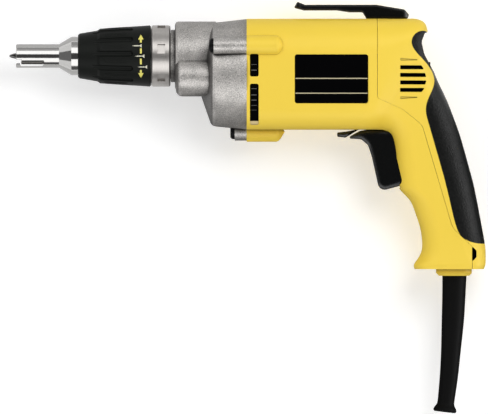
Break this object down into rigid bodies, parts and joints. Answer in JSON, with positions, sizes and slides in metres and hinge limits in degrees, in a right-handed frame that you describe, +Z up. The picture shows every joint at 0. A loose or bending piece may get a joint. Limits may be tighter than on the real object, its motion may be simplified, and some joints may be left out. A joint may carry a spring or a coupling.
{
  "type": "drywall screwdriver",
  "caption": "Corded drywall screwdriver with a depth-setting nosepiece, pistol grip, speed trigger, reversing lever and belt hook.",
  "frame": {"origin": "centre of the nose locator's front face, on the spindle axis", "axes": "+X from the nose to the rear along the spindle, +Z up (the handle hangs down), +Y to the user's right"},
  "size_m": [0.3061, 0.0766, 0.2643],
  "materials": {
    "yellow_moulding": "moulded, fine spark texture",
    "black_moulding": "moulded, fine texture",
    "black_gloss": "polished moulding",
    "panel_black": "printed panel",
    "grip_rubber": "overmoulded, grained",
    "cord_rubber": "moulded",
    "cast_aluminium": "die cast and blasted",
    "bright_steel": "turned and plated",
    "tool_steel": "hardened",
    "black_steel": "black oxide",
    "lamination_steel": "stamped stack",
    "copper_wire": "enamelled",
    "bearing_bronze": "sintered",
    "grey_nylon": "moulded",
    "carbon": "pressed carbon",
    "felt": "felt"
  },
  "bodies": {
    "tool": {"thrust_washer": "tool_steel", "spindle_seal": "felt", "spindle_bush": "bearing_bronze", "thrust_bearing": "tool_steel", "gear_case": "cast_aluminium", "gear_plate": "cast_aluminium", "case_screws": "black_steel", "front_bearing": "tool_steel", "front_bearing_balls": "bright_steel", "rear_bearing": "tool_steel", "rear_bearing_balls": "bright_steel", "rear_bearing_boot": "cord_rubber", "field_core": "lamination_steel", "field_coils": "copper_wire", "fan_baffle": "grey_nylon", "brush_plate": "grey_nylon", "brush_holders": "bearing_bronze", "carbon_brushes": "carbon", "brush_springs": "tool_steel", "motor_housing": "yellow_moulding", "handle_cover": "yellow_moulding", "rubber_grip": "grip_rubber", "handle_screws": "black_steel", "name_panel": "panel_black", "belt_hook": "black_moulding", "belt_hook_screw": "black_steel", "switch_body": "black_moulding", "cord_protector": "cord_rubber", "cord_clamp": "black_moulding", "clamp_screws": "black_steel"},
    "armature": {"armature_shaft": "tool_steel", "drive_pinion": "tool_steel", "armature_core": "lamination_steel", "armature_windings": "copper_wire", "commutator": "copper_wire", "cooling_fan": "black_moulding", "front_bearing_inner": "tool_steel", "rear_bearing_inner": "tool_steel"},
    "gear": {"drive_gear": "tool_steel"},
    "clutch": {"clutch_plate": "tool_steel", "clutch_spring": "tool_steel"},
    "spindle": {"spindle": "tool_steel", "bit_holder": "bright_steel", "bit_tip": "tool_steel", "bit_magnet": "tool_steel", "bit_ball": "bright_steel", "bit_ring": "black_steel"},
    "nosepiece": {"nosepiece_ring": "bright_steel", "nosepiece_oring": "cord_rubber", "detent_ring": "tool_steel"},
    "collar": {"depth_collar": "black_moulding"},
    "locator": {"nose_locator": "bright_steel"},
    "trigger": {"trigger": "black_gloss"},
    "reversing_lever": {"reversing_lever": "black_gloss"}
  },
  "joints": [
    {"name": "armature_spin", "type": "hinge", "parent": "tool", "child": "armature", "pos_m": [0.19, 0, -0.012], "axis": [1, 0, 0], "continuous": true},
    {"name": "gear_spin", "type": "hinge", "parent": "tool", "child": "gear", "pos_m": [0.13, 0, 0], "axis": [1, 0, 0], "continuous": true},
    {"name": "spindle_spin", "type": "hinge", "parent": "tool", "child": "clutch", "pos_m": [0.125, 0, 0], "axis": [1, 0, 0], "continuous": true},
    {"name": "spindle_slide", "type": "slide", "parent": "clutch", "child": "spindle", "axis": [1, 0, 0], "range_m": [0, 0.0028], "stiffness_N_per_m": 3000, "springref_m": -0.002, "deforming": ["clutch_spring"]},
    {"name": "nosepiece_pull", "type": "slide", "parent": "tool", "child": "nosepiece", "axis": [-1, 0, 0], "range_m": [0, 0.105]},
    {"name": "collar_turn", "type": "hinge", "parent": "nosepiece", "child": "collar", "pos_m": [0.06, 0, 0], "axis": [1, 0, 0], "range_deg": [-190, 190]},
    {"name": "nose_depth", "type": "slide", "parent": "nosepiece", "child": "locator", "axis": [1, 0, 0], "range_m": [-0.003, 0.003]},
    {"name": "trigger_pull", "type": "slide", "parent": "tool", "child": "trigger", "axis": [0.9781, 0, 0.2079], "range_m": [0, 0.0065], "stiffness_N_per_m": 900, "springref_m": -0.004},
    {"name": "reverse_lever", "type": "hinge", "parent": "tool", "child": "reversing_lever", "pos_m": [0.2323, 0, -0.045], "axis": [0, 0, 1], "range_deg": [-10, 10]}
  ],
  "couplings": [
    {"joint": "gear_spin", "follows": "armature_spin", "ratio": -0.21212},
    {"joint": "spindle_spin", "follows": "armature_spin", "ratio": -0.21212},
    {"joint": "collar_turn", "follows": "nose_depth", "rad_per_m": 1047.2}
  ]
}
